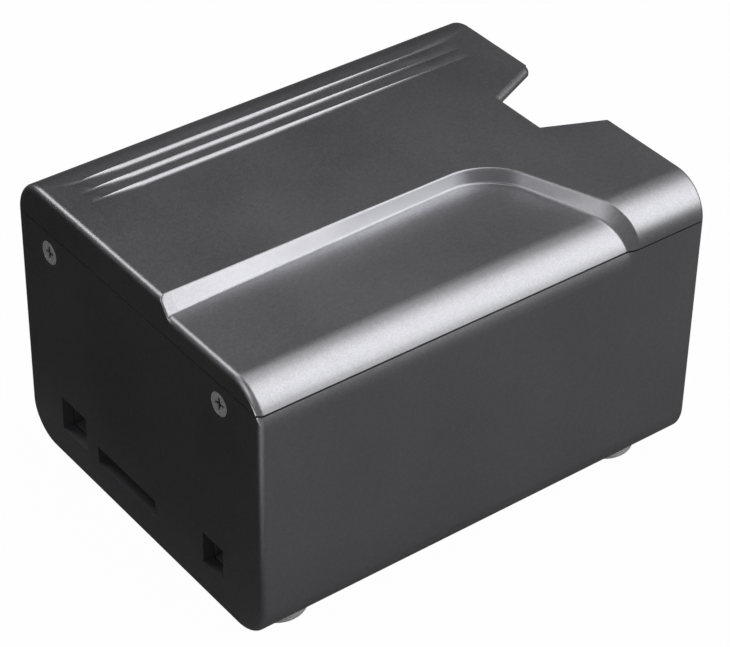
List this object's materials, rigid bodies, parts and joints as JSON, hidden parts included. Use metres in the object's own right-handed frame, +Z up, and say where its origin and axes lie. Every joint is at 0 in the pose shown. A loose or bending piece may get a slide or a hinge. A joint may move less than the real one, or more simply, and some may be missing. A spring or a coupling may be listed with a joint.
{
  "type": "spectrometer",
  "caption": "Small fibre-fed bench spectrometer in a dark anodised box with a stepped cover, rubber feet, end ports, fibre niche and turning inner optics",
  "frame": {"origin": "on the surface that it stands on, below the middle of the box", "axes": "+X along the box from the port end to the fibre end, +Z up, +Y to the side with the grooves"},
  "size_m": [0.1004, 0.078, 0.0629],
  "materials": {
    "case": "fine bead-blasted, dark grey anodised, satin",
    "seal": "matt black seal",
    "foot_rubber": "matt mid-grey rubber",
    "screw_steel": "dark satin steel",
    "socket_plastic": "matt black moulding",
    "circuit_board": "green solder mask",
    "chip_black": "matt black epoxy",
    "bare_aluminium": "drawn can",
    "brass_plain": "turned brass",
    "black_anodised": "black anodised, matt",
    "plated_brass": "nickel plated",
    "slit_steel": "thin rolled foil",
    "mirror_coating": "aluminised optical glass",
    "grating_face": "ruled and aluminised",
    "clear_glass": "polished",
    "filter_glass": "polished, coated",
    "ceramic_black": "sintered ceramic",
    "silicon": "polished silicon",
    "cable_film": "flat cable film",
    "spring_steel": "rolled spring strip",
    "pin_steel": "ground pin"
  },
  "bodies": {
    "housing": {"accessory_socket": "socket_plastic", "baffle_screw": "screw_steel", "bench_screws": "screw_steel", "board_cable_socket": "socket_plastic", "board_capacitors": "bare_aluminium", "board_spacers": "brass_plain", "bracket_screws": "screw_steel", "collection_lens": "clear_glass", "collimating_pivot_pin": "pin_steel", "converter_chip": "chip_black", "cover_screws": "screw_steel", "cover_seal": "seal", "data_socket": "socket_plastic", "detector_board": "circuit_board", "detector_bracket": "black_anodised", "detector_cable_socket": "socket_plastic", "detector_screws": "screw_steel", "entrance_baffle": "black_anodised", "entrance_slit": "slit_steel", "fibre_connector": "plated_brass", "fibre_connector_nut": "plated_brass", "fibre_connector_washer": "plated_brass", "flat_cable": "cable_film", "focusing_pivot_pin": "pin_steel", "foot_fibre_end_far": "foot_rubber", "foot_fibre_end_near": "foot_rubber", "foot_port_end_far": "foot_rubber", "foot_port_end_near": "foot_rubber", "grating_pivot_pin": "pin_steel", "image_sensor": "ceramic_black", "lower_housing": "case", "main_board": "circuit_board", "memory_chip": "chip_black", "mount_lock_screws": "screw_steel", "optical_bench": "black_anodised", "order_filter": "filter_glass", "power_coil": "chip_black", "power_socket": "socket_plastic", "processor_chip": "chip_black", "sensor_chip": "silicon", "sensor_window": "clear_glass", "slit_holder": "black_anodised", "slit_ring": "black_anodised", "top_cover": "case"},
    "grating_turn": {"grating_mount": "black_anodised", "grating_clip": "spring_steel", "grating_clip_screw": "screw_steel", "diffraction_grating": "grating_face"},
    "collimating_turn": {"collimating_mount": "black_anodised", "collimating_clip": "spring_steel", "collimating_clip_screw": "screw_steel", "collimating_mirror": "mirror_coating"},
    "focusing_turn": {"focusing_mount": "black_anodised", "focusing_clip": "spring_steel", "focusing_clip_screw": "screw_steel", "focusing_mirror": "mirror_coating"}
  },
  "joints": [
    {"name": "grating_turn", "type": "hinge", "parent": "housing", "child": "grating_turn", "pos_m": [0.014, 0.023, 0.0275], "axis": [0, 0, 1], "range_deg": [-8, 8]},
    {"name": "collimating_turn", "type": "hinge", "parent": "housing", "child": "collimating_turn", "pos_m": [-0.0355, 0.018, 0.0275], "axis": [0, 0, 1], "range_deg": [-4, 4]},
    {"name": "focusing_turn", "type": "hinge", "parent": "housing", "child": "focusing_turn", "pos_m": [-0.0335, -0.016, 0.0275], "axis": [0, 0, 1], "range_deg": [-4, 4]}
  ]
}
